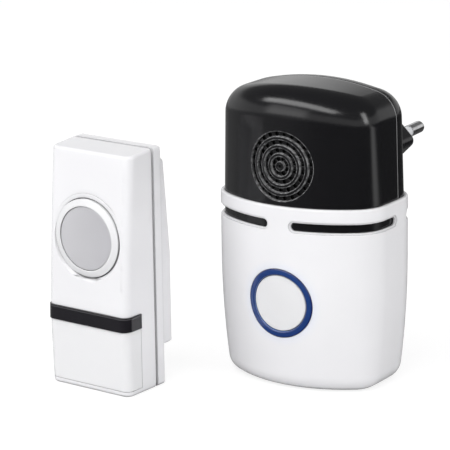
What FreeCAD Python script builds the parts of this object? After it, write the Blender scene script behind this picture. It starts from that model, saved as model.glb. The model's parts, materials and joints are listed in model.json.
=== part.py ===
import FreeCAD, Part
import math
import os

# A wireless doorbell: a plug-in chime and a wall push button, both upright on one surface.
# Lengths are in millimetres, +Z is up and the fronts face -Y.
# Every piece is first laid out with the chime's front at Y = 0 on the chime's centre plane X = 0,
# and the push unit about its own seam plane; the push unit is then turned a little to the left and put
# in its place, and the whole set is moved so that the origin is the centre of its base.

Vec = FreeCAD.Vector

# Chime housing, plan section at the height of the cup's rim
body_half_width = 28.1
body_depth = 36.0
front_radius = 41.0
front_corner_radius = 10.5
side_radius = 150.0
rear_corner_radius = 9.5
seam_y = 25.6
seam_gap = 0.35
shell_wall = 2.0

# Chime housing, heights and side profile
top_z = 96.6
rim_z = 60.0
belly_z = 39.8
belly_radius = 300.0
side_taper = 0.025
face_taper = 0.014
crown_radius = 82.0
crown_tilt = 1.2
top_round = 9.0

# White cup over the lower half of the housing
cup_wall = 1.2
cup_floor = 1.3
cup_clearance = 0.1
cup_bottom_round = 5.8
rim_round = 0.5
vent_low_z = 52.6
vent_height = 2.75
vent_bridge = 4.1
vent_side_end = 21.5
rear_vent_start = 28.8
rear_vent_bridge = 13.0
vent_lip = 0.55
vent_lip_depth = 0.45

# Clearance between pieces that are pushed or screwed together, and the joint round the housing
nest_gap = 0.04
tongue_depth = 1.0
tongue_reach = 1.6

# Speaker and its grille
speaker_z = 72.4
grille_pitch = 2.62
grille_first_radius = 2.35
grille_counts = (8, 12, 18, 24)
grille_groove_width = 1.65
grille_groove_depth = 0.8
grille_hole_radius = 0.7
speaker_radius = 14.0
speaker_seat_y = 6.0
speaker_flange = 0.8
speaker_basket = 3.8
magnet_radius = 8.0
magnet_length = 4.9
gasket_width = 2.2
gasket_thickness = 0.6
cloth_thickness = 0.25
speaker_post_angles = (90, 210, 330)
speaker_shank = 0.8

# Light ring and the round button inside it
ring_z = 28.8
ring_outer_radius = 11.2
ring_width = 1.95
ring_proud = 0.25
ring_flange_width = 1.2
ring_flange_thickness = 1.0
ring_seat_gap = 0.48
ring_flange_radius = ring_outer_radius + ring_flange_width
ring_seat_y = front_radius - math.sqrt(front_radius ** 2 - ring_flange_radius ** 2) + shell_wall
ring_back_y = ring_seat_y + ring_seat_gap + ring_flange_thickness
ring_edge_round = 0.4
ring_clearance = 0.08
melody_clearance = 0.2
melody_travel = 0.8
melody_recess = 0.15
melody_wall = 1.4
melody_flange_width = 0.8
melody_flange_thickness = 0.8
stem_radius = 2.4

# Push switches under both buttons
switch_size = 6.0
switch_height = 3.4
plunger_radius = 1.7
plunger_stand = 1.4
plunger_clearance = 0.06
stem_gap = 0.05

# Mains plug and its pins
plug_z = 70.6
plug_face_y = 58.2
plug_half_width = 17.65
plug_half_height = 6.85
plug_corner_round = 2.4
plug_edge_round = 1.2
plug_wall = 2.2
plug_face_wall = 2.6
pedestal_thickness = 3.0
pedestal_margin = 1.8
pin_spacing = 18.6
pin_tip_spacing = 17.5
pin_length = 19.0
pin_radius = 2.0
pin_core_radius = 1.5
pin_tip_round = 1.2
pin_collar_radius = 2.6
pin_collar_length = 1.0
pin_tail = 9.0
sleeve_radius = 1.8
sleeve_length = 10.0
sleeve_seat = 0.8
carrier_length = 3.2

# Boards inside the chime
board_thickness = 1.6
board_side_room = 8.1
board_half_width = body_half_width - board_side_room
board_low_z = 8.0
board_high_z = 54.0
board_y = 22.4
ring_board_y = 9.6
ring_board_thickness = 1.0
ring_board_margin = 1.4
ring_board_radius = ring_outer_radius + ring_board_margin
ring_board_post_room = 3.2
ring_board_post_x = ring_flange_radius + ring_board_post_room
post_radius = 2.6
screw_shank = 1.15
screw_head = 2.2
screw_head_height = 1.5
screw_length = 10.0
case_screw_inset = 7.7
case_screw_upper_inset = 9.1
case_screw_top_room = 12.6
case_screw_rim_room = 2.4
case_screws = (
    (body_half_width - case_screw_upper_inset, top_z - case_screw_top_room),
    (body_half_width - case_screw_inset, rim_z - case_screw_rim_room),
)
case_screw_depth = 6.0
case_screw_seat_y = body_depth - case_screw_depth
board_screw_edge = 4.5
board_screw_x = board_half_width - board_screw_edge
board_screws = (
    (board_screw_x, board_low_z + board_screw_edge),
    (board_screw_x, board_high_z - board_screw_edge),
)
cup_screw_inset = 13.1
cup_screw_x = body_half_width - cup_screw_inset
cup_screw_z = 20.0
lead_radius = 0.9
lead_bend = 1.8
lead_room = 2.6
nose_entry = 1.5
lead_x = 8.0
speaker_lead_radius = 0.5
speaker_lead_x = 1.8
speaker_lead_bend = 2.0
header_pitch = 2.54
header_pins = 4
header_pin = 0.64
header_drop = 8.0
header_height = 2.5
lead_z = 44.0

# Push unit, outside
unit_x = -51.7
unit_seam_y = -15.0
unit_turn = 5.2
unit_width = 31.8
unit_height = 77.7
unit_face_top = 11.1
unit_face_belly = 14.9
unit_face_bottom = 14.2
unit_belly_z = 21.0
unit_top_drop = 0.9
unit_face_power = 1.4
unit_corner_radius = 2.6
unit_edge_round = 1.1
unit_wall = 1.7
unit_seam_gap = 1.3
unit_rear_depth = 4.4
unit_rear_wall = 1.6
unit_rear_round = 0.8
unit_tongue_depth = 0.85
unit_tongue_reach = 1.3

# Push unit, button
button_z = 49.5
button_side_room = 1.4
button_hole_radius = unit_width / 2 - unit_wall - button_side_room
button_hole_chamfer = 0.35
button_clearance = 0.25
button_proud = 0.85
button_bevel_width = 1.9
button_bevel_height = 0.65
button_travel = 1.0
button_wall = 1.4
button_seat_gap = 0.25
button_flange_width = 1.3
button_flange_thickness = 0.9
disc_rim_width = 2.6
disc_radius = button_hole_radius - disc_rim_width
disc_gap = 0.25
disc_recess = 0.25
disc_thickness = 0.8

# Push unit, band, name window and card
band_low_z = 21.5
band_height = 4.6
band_proud = 0.42
band_inset = 0.9
wrap_end_y = -7.5
window_low_z = 1.9
window_gap = 0.12
window_thickness = 1.1
card_thickness = 0.3
card_side_room = 4.55
card_half_width = unit_width / 2 - card_side_room
card_margin = 1.6
backing_depth = 3.0

# Push unit, inside
battery_radius = 5.15
battery_length = 28.5
battery_low_z = 5.4
battery_y = -2.9
battery_clearance = 0.1
cradle_wall = 1.4
cradle_side = battery_radius + battery_clearance + cradle_wall
plate_room = 0.5
unit_board_side_room = 1.75
unit_board_half_width = unit_width / 2 - unit_wall - unit_board_side_room
unit_board_battery_room = 3.5
unit_board_low_z = battery_low_z + battery_length + unit_board_battery_room
unit_board_top_room = 4.3
unit_board_high_z = unit_height - unit_board_top_room
unit_board_y = -2.8
unit_board_thickness = 1.2
unit_board_screw_inset = 3.3
unit_board_screw_edge = 3.7
unit_upper_screw_z = unit_board_high_z - unit_board_screw_edge
unit_board_screw_x = unit_board_half_width - unit_board_screw_inset
unit_board_screws = (
    (unit_board_screw_x, unit_board_low_z + unit_board_screw_edge),
    (unit_board_screw_x, unit_upper_screw_z),
)
unit_post_radius = 2.2
unit_chip_drop = 10.2
unit_resonator_drop = 9.2
unit_antenna_room = 13.3

# Wall bracket behind the push unit
bracket_side_inset = 1.2
bracket_low_z = 12.4
bracket_top_room = 4.7
bracket_top_z = unit_height - bracket_top_room
bracket_thickness = 4.7
bracket_top_thickness = 2.0
bracket_ramp_z = 42.0
bracket_gap = 0.15
bracket_wall = 1.6
bracket_chamfer = 0.8
bracket_travel = 8.0
stud_x = (cradle_side + unit_width / 2 - unit_wall) / 2
stud_low_z = 24.0
stud_top_room = 15.7
stud_heights = (stud_low_z, unit_height - stud_top_room)
stud_radius = 1.6
stud_head_radius = 2.9
stud_head_thickness = 0.9
stud_clearance = 0.3
wall_screw_radius = 1.75
wall_screw_low_z = 17.5
wall_screw_spacing = 20.0

os.makedirs("parts", exist_ok=True)
far = 200.0


def box(x0, x1, y0, y1, z0, z1):
    """A block between two corners."""
    return Part.makeBox(x1 - x0, y1 - y0, z1 - z0, Vec(x0, y0, z0))


def rod_y(x, z, radius, y0, y1):
    """A round rod along Y."""
    return Part.makeCylinder(radius, y1 - y0, Vec(x, y0, z), Vec(0, 1, 0))


def rod_z(x, y, radius, z0, z1):
    """A round rod along Z."""
    return Part.makeCylinder(radius, z1 - z0, Vec(x, y, z0), Vec(0, 0, 1))


def rod_x(y, z, radius, x0, x1):
    """A round rod along X."""
    return Part.makeCylinder(radius, x1 - x0, Vec(x0, y, z), Vec(1, 0, 0))


def tube_y(x, z, inner, outer, y0, y1):
    """A round tube along Y."""
    return rod_y(x, z, outer, y0, y1).cut(rod_y(x, z, inner, y0 - 1, y1 + 1))


def join(shapes):
    """Several touching solids as one."""
    whole = shapes[0]
    if len(shapes) > 1:
        whole = whole.fuse(shapes[1:])
    return whole.removeSplitter()


def group(shapes):
    """Several separate solids kept as one piece of the list."""
    return Part.makeCompound(shapes)


def turned_y(points, x, z):
    """A solid turned about a line along Y, from (radius, y) points."""
    wire = Part.makePolygon([Vec(x + r, y, z) for r, y in points + [points[0]]])
    return Part.Face(wire).revolve(Vec(x, 0, z), Vec(0, 1, 0), 360)


# Plan section of the chime


def circles_meet(a, ra, b, rb):
    """The meeting point nearer the front of two circles."""
    gap = b - a
    d = gap.Length
    along = (d * d + ra * ra - rb * rb) / (2 * d)
    side = math.sqrt(ra * ra - along * along)
    ux, uy = gap.x / d, gap.y / d
    points = [Vec(a.x + along * ux - s * side * uy, a.y + along * uy + s * side * ux, 0) for s in (-1, 1)]
    return min(points, key=lambda p: p.y)


def corners(pinch, lean):
    """Centres of the front arc, side arc, front corner and rear corner of one section."""
    front = Vec(0, front_radius + lean, 0)
    side = Vec(body_half_width - pinch - side_radius, seam_y, 0)
    fore = circles_meet(front, front_radius - front_corner_radius, side, side_radius - front_corner_radius)
    rear_y = body_depth - lean - rear_corner_radius
    reach = math.sqrt((side_radius - rear_corner_radius) ** 2 - (rear_y - seam_y) ** 2)
    return front, side, fore, Vec(side.x + reach, rear_y, 0)


def section(z, grow, pinch=0.0, lean=0.0):
    """The housing's outline at height z, moved outwards by grow: arcs and lines that meet smoothly."""
    front, side, fore, rear = corners(pinch, lean)
    ahead = (fore - front).normalize()
    beside = (fore - side).normalize()
    behind = (rear - side).normalize()
    t1 = front + ahead * (front_radius + grow)
    m1 = fore + (ahead + beside).normalize() * (front_corner_radius + grow)
    t2 = side + beside * (side_radius + grow)
    m2 = side + (beside + behind).normalize() * (side_radius + grow)
    t3 = side + behind * (side_radius + grow)
    m3 = rear + (behind + Vec(0, 1, 0)).normalize() * (rear_corner_radius + grow)
    t4 = rear + Vec(0, rear_corner_radius + grow, 0)

    def right(p):
        return Vec(p.x, p.y, z)

    def left(p):
        return Vec(-p.x, p.y, z)

    edges = [
        Part.Arc(left(t1), Vec(0, lean - grow, z), right(t1)).toShape(),
        Part.Arc(right(t1), right(m1), right(t2)).toShape(),
        Part.Arc(right(t2), right(m2), right(t3)).toShape(),
        Part.Arc(right(t3), right(m3), right(t4)).toShape(),
        Part.makeLine(right(t4), left(t4)),
        Part.Arc(left(t4), left(m3), left(t3)).toShape(),
        Part.Arc(left(t3), left(m2), left(t2)).toShape(),
        Part.Arc(left(t2), left(m1), left(t1)).toShape(),
    ]
    return Part.Wire(edges)


def belly_grow(z):
    """How far the wall has drawn in below the belly."""
    return -max(0.0, belly_z - z) ** 2 / (2 * belly_radius)


def profile_points(grow, low_z, bottom_round, high_z):
    """The wall's profile from the bottom up, as (offset, 0, z), with the middle of each arc."""
    radius = belly_radius + grow
    centre = Vec(-belly_radius, 0, belly_z)
    round_z = low_z + bottom_round
    reach = math.sqrt((radius - bottom_round) ** 2 - (belly_z - round_z) ** 2)
    round_centre = Vec(reach - belly_radius, 0, round_z)
    out = (round_centre - centre).normalize()
    join_point = centre + out * radius
    low_point = round_centre - Vec(0, 0, bottom_round)
    low_middle = round_centre + (out - Vec(0, 0, 1)).normalize() * bottom_round
    belly_middle = centre + (out + Vec(1, 0, 0)).normalize() * radius
    return low_point, low_middle, join_point, belly_middle, Vec(grow, 0, belly_z), Vec(grow, 0, high_z)


def barrel(grow, low_z, bottom_round, high_z):
    """The lower half of the housing's form: each arc of the plan carries the same rounded profile."""
    front, side, fore, rear = corners(0, 0)
    p = profile_points(grow, low_z, bottom_round, high_z)

    def profile(centre, radius, angle):
        """The wall's profile as edges in the upright plane at this angle about a centre."""
        way = Vec(math.cos(angle), math.sin(angle), 0)
        a, b, c, d, e, f = [centre + way * (radius + q.x) + Vec(0, 0, q.z) for q in p]
        return [Part.Arc(a, b, c).toShape(), Part.Arc(c, d, e).toShape(), Part.makeLine(e, f)]

    def angle_of(v):
        return math.atan2(v.y, v.x)

    ahead, beside, behind = angle_of(fore - front), angle_of(fore - side), angle_of(rear - side)
    faces = []
    for centre, radius, start, end in (
        (front, front_radius, -math.pi - ahead, ahead),
        (fore, front_corner_radius, ahead, beside),
        (side, side_radius, beside, behind),
        (rear, rear_corner_radius, behind, math.pi / 2),
    ):
        for edge in profile(centre, radius, start):
            faces.append(edge.revolve(centre, Vec(0, 0, 1), math.degrees(end - start)))
    count = len(faces)
    for face in faces[3:count]:
        faces.append(face.mirror(Vec(0, 0, 0), Vec(1, 0, 0)))
    left_rear = Vec(-rear.x, rear.y, 0)
    for edge in profile(left_rear, rear_corner_radius, math.pi / 2):
        faces.append(edge.extrude(Vec(2 * rear.x, 0, 0)))
    faces.append(Part.Face(section(low_z, p[0].x)))
    faces.append(Part.Face(section(high_z, grow)))
    shell = Part.makeShell(faces)
    shell.sewShape()
    return Part.makeSolid(shell)


def dome(grow):
    """The upper half of the housing's form: tapered, crowned and rounded at the top."""
    high_z = top_z + 2
    rise = high_z - rim_z
    low = section(rim_z, grow)
    high = section(high_z, grow, side_taper * rise, face_taper * rise)
    crown = rod_y(0, top_z - crown_radius, crown_radius + grow, -far, far)
    crown.rotate(Vec(0, 0, top_z - crown_radius), Vec(0, 1, 0), 180)
    crown.rotate(Vec(0, 0, top_z), Vec(1, 0, 0), -crown_tilt)
    block = Part.makeLoft([low, high], True, True).common(crown)
    top = max(block.Faces, key=lambda f: f.CenterOfMass.z)
    return block.makeFillet(top_round + grow, top.OuterWire.Edges)


def housing(grow, low_z, bottom_round):
    """The whole form of the black housing, moved outwards by grow."""
    return join([barrel(grow, low_z, bottom_round, rim_z), dome(grow)])


body_low_z = cup_floor + cup_clearance
body_bottom_round = cup_bottom_round - cup_wall - cup_clearance
cup_outside = cup_clearance + cup_wall
front_end = seam_y - seam_gap / 2
rear_start = seam_y + seam_gap / 2
skin = housing(0, body_low_z, body_bottom_round)

def housing_at(depth):
    """The housing's form moved inwards by depth."""
    return housing(-depth, body_low_z + depth, body_bottom_round - depth / 2)


cavity = housing_at(shell_wall)
middle = housing_at(shell_wall / 2)


def across(y0, y1):
    """Everything between two planes across Y."""
    return box(-far, far, y0, y1, -far, far)


def both_sides(places):
    """The same places on the right and on the left."""
    return [(side * x, z) for x, z in places for side in (-1, 1)]


def screw(x, z, seat_y, way, length, shank=screw_shank, head=screw_head):
    """A cross-head screw along Y; way is +1 for a head that faces the back."""
    top = seat_y + way * screw_head_height
    tip = seat_y - way * length
    body = join([
        rod_y(x, z, head, min(seat_y, top), max(seat_y, top)),
        rod_y(x, z, shank, min(seat_y, tip), max(seat_y, tip)),
    ])
    bit = head * 0.62
    slot = 0.25
    floor = top - way * 0.7
    y0, y1 = min(floor, top + way), max(floor, top + way)
    return body.cut([
        box(x - bit, x + bit, y0, y1, z - slot, z + slot),
        box(x - slot, x + slot, y0, y1, z - bit, z + bit),
    ])


# Front shell of the chime


def grille_cuts():
    """Round grooves with a row of small holes in each, and one hole in the middle."""
    near, deep = -shell_wall, speaker_seat_y
    under = dome(-grille_groove_depth)
    half = grille_groove_width / 2
    grooves = []
    holes = [rod_y(0, speaker_z, grille_hole_radius, near, deep)]
    for k, count in enumerate(grille_counts):
        radius = grille_first_radius + grille_pitch * k
        grooves.append(tube_y(0, speaker_z, radius - half, radius + half, near, deep).cut(under))
        for n in range(count):
            angle = 2 * math.pi * (n + 0.5) / count
            x = radius * math.cos(angle)
            z = speaker_z + radius * math.sin(angle)
            holes.append(rod_y(x, z, grille_hole_radius, near, deep))
    return grooves + holes


seat_inner = speaker_radius - gasket_width
speaker_post_radius = 1.8
speaker_post_reach = speaker_radius + speaker_post_radius + 0.3
speaker_rear_y = speaker_seat_y + speaker_flange


def speaker_post_places():
    places = []
    for angle in speaker_post_angles:
        turn = math.radians(angle)
        x = speaker_post_reach * math.cos(turn)
        places.append((x, speaker_z + speaker_post_reach * math.sin(turn)))
    return places


def receiver_front_shell():
    """The front half of the housing with its grille, posts and the step that the rear half enters."""
    step = housing_at(tongue_depth - nest_gap).common(across(front_end - tongue_reach - nest_gap, far))
    shell = skin.common(across(-far, front_end)).cut([cavity, step])
    seat_end = speaker_seat_y - gasket_thickness - nest_gap
    seat = tube_y(0, speaker_z, seat_inner, speaker_radius, 0, seat_end).common(middle)
    pegs = []
    holes = []
    for x, z in both_sides(case_screws):
        pegs.append(rod_y(x, z, post_radius, 0, front_end).common(middle))
        holes.append(rod_y(x, z, screw_shank + nest_gap, front_end - screw_length, front_end + 1))
    for x, z in speaker_post_places():
        pegs.append(rod_y(x, z, speaker_post_radius, 0, speaker_rear_y - nest_gap).common(middle))
        holes.append(rod_y(x, z, speaker_shank + nest_gap, speaker_rear_y - 3.2, speaker_rear_y + 1))
    for x, z in both_sides([(ring_board_post_x, ring_z)]):
        pegs.append(rod_y(x, z, post_radius - 0.4, 0, ring_board_y - nest_gap).common(middle))
        holes.append(rod_y(x, z, speaker_shank + nest_gap, ring_board_y - 4.0, ring_board_y + 1))
    ring_hole = rod_y(0, ring_z, ring_outer_radius + ring_clearance, -far, ring_board_y)
    shell = shell.fuse([seat] + pegs)
    return shell.cut([ring_hole] + holes + grille_cuts())


def dust_cloth():
    """A thin cloth on the inside of the grille."""
    outside = dome(-shell_wall - nest_gap)
    inside = dome(-shell_wall - nest_gap - cloth_thickness)
    disc = rod_y(0, speaker_z, seat_inner - nest_gap, -1, speaker_seat_y + 1)
    return outside.cut(inside).common(disc)


def speaker_gasket():
    start = speaker_seat_y - gasket_thickness
    return tube_y(0, speaker_z, seat_inner, speaker_radius, start, speaker_seat_y - nest_gap)


def speaker_frame():
    """A pressed basket with a flange and an open middle for the cone."""
    rim = speaker_radius
    seat = speaker_seat_y
    flange = seat + speaker_flange
    end = flange + speaker_basket
    metal = 0.7
    neck = magnet_radius * 0.5
    profile = [
        (rim, seat), (rim, flange), (rim - 1.4, flange), (magnet_radius + 1.2, end - metal),
        (magnet_radius + 1.2, end), (neck, end), (neck, end - metal),
        (magnet_radius + 0.4, end - metal), (rim - 2.2, flange - 0.2), (rim - 2.2, seat),
    ]
    return turned_y(profile, 0, speaker_z)


def speaker_cone():
    """The cone with its edge roll and the cap in its middle."""
    edge = speaker_radius - 2.2 - nest_gap
    seat = speaker_seat_y + 0.1
    skin_y = 0.3
    deep = speaker_seat_y + speaker_flange + speaker_basket - 2.1
    profile = [
        (0, deep - 0.5), (3.2, deep), (edge - 1.0, seat), (edge, seat),
        (edge, seat + skin_y), (edge - 0.9, seat + skin_y), (3.3, deep + skin_y + 0.1), (0, deep - 0.1),
    ]
    return turned_y(profile, 0, speaker_z)


def speaker_magnet():
    start = speaker_seat_y + speaker_flange + speaker_basket + nest_gap
    magnet = rod_y(0, speaker_z, magnet_radius, start, start + magnet_length)
    return magnet.makeFillet(0.4, [e for e in magnet.Edges if e.Length < 2.1 * math.pi * magnet_radius])


def speaker_screws():
    screws = []
    for x, z in speaker_post_places():
        screws.append(screw(x, z, speaker_rear_y + nest_gap, 1, 3.0, speaker_shank, 2.6))
    return group(screws)


# Rear shell of the chime, with the plug's nose


def lozenge(grow, y0, y1, corner):
    """The mains plug's outline as a block from y0 to y1."""
    wide = plug_half_width + grow * math.sqrt(2)
    high = plug_half_height + grow
    flat = wide - high
    points = [(-flat, high), (flat, high), (wide, 0), (flat, -high), (-flat, -high), (-wide, 0)]
    wire = Part.makePolygon([Vec(x, y0, plug_z + z) for x, z in points + [points[0]]])
    block = Part.Face(wire).extrude(Vec(0, y1 - y0, 0))
    long_edges = [e for e in block.Edges if abs(e.Vertexes[0].Y - e.Vertexes[1].Y) > (y1 - y0) / 2]
    return block.makeFillet(corner, long_edges)


def place_pin(shape, side):
    """Move a shape made along Y from the plug's face to one pin's place and slant."""
    lean = math.degrees(math.asin((pin_spacing - pin_tip_spacing) / 2 / pin_length))
    moved = shape.copy()
    moved.rotate(Vec(0, 0, 0), Vec(0, 0, 1), side * lean)
    moved.translate(Vec(side * pin_spacing / 2, plug_face_y, plug_z))
    return moved


def plug_pin(side):
    collar = -plug_face_wall - 3 * nest_gap
    profile = [
        (0, -pin_tail), (pin_core_radius, -pin_tail),
        (pin_core_radius, collar - pin_collar_length), (pin_collar_radius, collar - pin_collar_length),
        (pin_collar_radius, collar), (pin_core_radius, collar),
        (pin_core_radius, sleeve_length), (pin_radius, sleeve_length),
        (pin_radius, pin_length), (0, pin_length),
    ]
    pin = turned_y(profile, 0, 0)
    tip = [e for e in pin.Edges if abs(e.CenterOfMass.y - pin_length) < 0.01 and e.Length > pin_radius * 5]
    return place_pin(pin.makeFillet(pin_tip_round, tip), side)


def pin_sleeve(side):
    bore = pin_core_radius + nest_gap
    return place_pin(tube_y(0, 0, bore, sleeve_radius, -sleeve_seat, sleeve_length - nest_gap), side)


def carrier_front():
    return plug_face_y - plug_face_wall - pin_collar_length - 5 * nest_gap


def pin_carrier():
    """The insert that holds the pins from inside the nose."""
    end = carrier_front()
    grow = -plug_wall - 2 * nest_gap
    block = lozenge(grow, end - carrier_length, end, plug_corner_round / 2)
    bores = [place_pin(rod_y(0, 0, pin_core_radius + nest_gap, -far / 4, 0), s) for s in (-1, 1)]
    rib = box(-3, 3, end - carrier_length - 4, end - carrier_length + 1, plug_z - 1, plug_z + 1)
    return block.fuse(rib).cut(bores)


def nose_start():
    """Where the plug's nose begins, a little inside the housing's back wall."""
    return body_depth - shell_wall - nose_entry


def receiver_rear_shell():
    """The rear half of the housing with its tongue, its posts and the plug's nose."""
    tongue = housing_at(tongue_depth).common(across(front_end - tongue_reach, rear_start + 0.5))
    shell = skin.common(across(rear_start, far)).fuse(tongue).cut(cavity)
    wall_in = nose_start()
    nose = lozenge(0, wall_in, plug_face_y, plug_corner_round)
    face_edges = [e for e in nose.Edges if abs(e.CenterOfMass.y - plug_face_y) < 0.01]
    nose = nose.makeFillet(plug_edge_round, face_edges)
    foot = lozenge(pedestal_margin, wall_in, body_depth + pedestal_thickness, plug_corner_round)
    hollow = lozenge(-plug_wall, wall_in - 2, plug_face_y - plug_face_wall, plug_corner_round / 2)
    pegs = [nose, foot]
    holes = [hollow]
    for x, z in both_sides(case_screws):
        pegs.append(rod_y(x, z, post_radius + 0.6, rear_start + nest_gap, far).common(middle))
        holes.append(rod_y(x, z, screw_shank + 0.15, rear_start - 1, far))
        holes.append(rod_y(x, z, screw_head + 0.2, case_screw_seat_y, far))
    for x, z in both_sides(board_screws):
        start = board_y + board_thickness + nest_gap
        pegs.append(rod_y(x, z, post_radius, start, far).common(middle))
        holes.append(rod_y(x, z, screw_shank + nest_gap, start - 1, start + 7))
    for x, z in both_sides([(cup_screw_x, cup_screw_z)]):
        pegs.append(rod_y(x, z, post_radius, wall_in - 3, far).common(middle))
        holes.append(rod_y(x, z, screw_shank + nest_gap, wall_in - 1.5, far))
    for side in (-1, 1):
        holes.append(place_pin(rod_y(0, 0, pin_core_radius + nest_gap, -far / 20, far / 20), side))
        holes.append(place_pin(rod_y(0, 0, sleeve_radius + nest_gap, -sleeve_seat - nest_gap, 5), side))
    return join([shell] + pegs).cut(holes)


def case_screw_set():
    places = both_sides(case_screws)
    reach = case_screw_seat_y - front_end + screw_length - 1.5
    return group([screw(x, z, case_screw_seat_y + nest_gap, 1, reach) for x, z in places])


def board_screw_set():
    places = both_sides(board_screws)
    return group([screw(x, z, board_y - nest_gap, -1, board_thickness + 6) for x, z in places])


# Cup of the chime


def vent_cutters(margin):
    """The four slots in the cup, larger by the margin all round."""
    low, high = vent_low_z - margin, vent_low_z + vent_height + margin
    middle, half = (low + high) / 2, (high - low) / 2
    cutters = []
    for side in (-1, 1):
        for bridge, y0, y1 in ((vent_bridge, -far, vent_side_end), (rear_vent_bridge, rear_vent_start, far)):
            x_end = side * (bridge + half - margin)
            y_end = y1 - half + margin if y0 < 0 else y0 + half - margin
            ya, yb = (y0, y_end) if y0 < 0 else (y_end, y1)
            x0, x1 = min(x_end, side * far), max(x_end, side * far)
            cutters.append(box(x0, x1, ya, yb, low, high))
            cutters.append(rod_y(x_end, middle, half, ya, yb))
            inside = side * body_half_width / 2
            cutters.append(rod_x(y_end, middle, half, min(inside, side * far), max(inside, side * far)))
    return cutters


def receiver_cup():
    outside = barrel(cup_outside, 0, cup_bottom_round, rim_z)
    top = max(outside.Faces, key=lambda f: f.CenterOfMass.z)
    outside = outside.makeFillet(rim_round, top.OuterWire.Edges)
    cup = outside.cut(barrel(cup_clearance, cup_floor, body_bottom_round, rim_z + 2))
    ring_hole = rod_y(0, ring_z, ring_outer_radius + ring_clearance, -far, ring_board_y)
    cup = cup.cut([ring_hole] + vent_cutters(0))
    under = barrel(cup_outside - vent_lip_depth, 0, cup_bottom_round, rim_z)
    recess = join(vent_cutters(vent_lip)).cut(under)
    cup = cup.cut(recess.common(box(-far, far, -far, far, vent_low_z - 2, rim_z - 1)))
    holes = []
    for x, z in both_sides([(cup_screw_x, cup_screw_z)]):
        holes.append(rod_y(x, z, screw_shank + 0.15, body_depth - 3, far))
        rise = screw_head + 0.15 - screw_shank
        holes.append(Part.makeCone(
            screw_shank, screw_head + 0.15 + 1, rise + 1, Vec(x, cup_back_y() - rise, z), Vec(0, 1, 0)
        ))
    return cup.cut(holes)


def cup_back_y():
    """Where the cup's back is at its screws."""
    return body_depth + cup_outside + belly_grow(cup_screw_z)


def cup_screw_set():
    """Two countersunk screws through the cup's back into the rear shell."""
    screws = []
    for x, z in both_sides([(cup_screw_x, cup_screw_z)]):
        top = cup_back_y() - 0.15
        profile = [
            (0, top), (screw_head, top), (screw_shank, top - screw_head + screw_shank),
            (screw_shank, top - 5.0), (0, top - 5.0),
        ]
        slots = [
            box(x - 1.3, x + 1.3, top - 0.6, far, z - 0.25, z + 0.25),
            box(x - 0.25, x + 0.25, top - 0.6, far, z - 1.3, z + 1.3),
        ]
        screws.append(turned_y(profile, x, z).cut(slots))
    return group(screws)


# Ring, round button and their board


def face_rim(shape):
    """The edges round a front face that follows the housing, without the line across it at the belly."""
    return [e for e in shape.Edges if e.BoundBox.YMax < 3 and e.BoundBox.ZLength > 0.1]


def light_ring():
    outer = ring_outer_radius
    inner = outer - ring_width
    bezel = tube_y(0, ring_z, inner, outer, -6, ring_back_y)
    bezel = bezel.common(barrel(cup_outside + ring_proud, 0, cup_bottom_round, rim_z))
    bezel = bezel.makeFillet(ring_edge_round, face_rim(bezel))
    flange = tube_y(
        0, ring_z, inner, ring_flange_radius, ring_back_y - ring_flange_thickness, ring_back_y
    )
    return join([bezel, flange])


def melody_button():
    radius = ring_outer_radius - ring_width - melody_clearance
    hold = ring_back_y + nest_gap
    plug = rod_y(0, ring_z, radius, -6, hold + 0.1)
    plug = plug.common(barrel(cup_outside - melody_recess, 0, cup_bottom_round, rim_z))
    plug = plug.makeFillet(0.3, face_rim(plug))
    plug = plug.cut(rod_y(0, ring_z, radius - melody_wall, melody_wall, far))
    flange = tube_y(
        0, ring_z, radius - melody_wall, radius + melody_flange_width, hold, hold + melody_flange_thickness
    )
    stem_end = ring_board_y - switch_height - plunger_stand - stem_gap
    stem = rod_y(0, ring_z, stem_radius, melody_wall - 1, stem_end)
    return join([plug, flange, stem])


def push_switch(board_face):
    """A square switch that stands on a board's front face, with a well for its plunger."""
    half = switch_size / 2
    front = board_face - switch_height
    body = box(-half, half, front, board_face - nest_gap, -half, half)
    body = body.makeFillet(0.4, [e for e in body.Edges if abs(e.Vertexes[0].Y - e.Vertexes[1].Y) > 1])
    return body.cut(rod_y(0, 0, plunger_radius + plunger_clearance, front - 1, front + 2.3))


def switch_plunger(board_face):
    front = board_face - switch_height - plunger_stand
    rod = rod_y(0, 0, plunger_radius, front, front + plunger_stand + 1.1)
    return rod.makeFillet(0.25, [e for e in rod.Edges if abs(e.CenterOfMass.y - front) < 0.01])


def at_ring(shape):
    shape.translate(Vec(0, 0, ring_z))
    return shape


def ring_board():
    y0, y1 = ring_board_y, ring_board_y + ring_board_thickness
    ear = ring_board_post_x + post_radius
    board = join([
        rod_y(0, ring_z, ring_board_radius, y0, y1),
        box(-ear, ear, y0, y1, ring_z - post_radius, ring_z + post_radius),
    ])
    places = both_sides([(ring_board_post_x, ring_z)])
    return board.cut([rod_y(x, z, speaker_shank + 0.1, y0 - 1, y1 + 1) for x, z in places])


def ring_board_screws():
    seat = ring_board_y + ring_board_thickness + nest_gap
    places = both_sides([(ring_board_post_x, ring_z)])
    return group([screw(x, z, seat, 1, ring_board_thickness + 3.4, speaker_shank, 1.8) for x, z in places])


def ring_leds():
    """Six small light chips on the ring board, behind the ring."""
    chips = []
    reach = ring_outer_radius - ring_width / 2
    for k in range(6):
        angle = math.radians(30 + 60 * k)
        x, z = reach * math.cos(angle), ring_z + reach * math.sin(angle)
        y1 = ring_board_y - nest_gap
        chips.append(box(x - 0.8, x + 0.8, y1 - 0.7, y1, z - 0.6, z + 0.6))
    return group(chips)


def header_block(y0, y1):
    """A plastic block of the plug connection between the two boards."""
    half = header_pitch * header_pins / 2
    z = ring_z - header_drop
    return box(-half, half, y0, y1, z - header_height / 2, z + header_height / 2)


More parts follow.
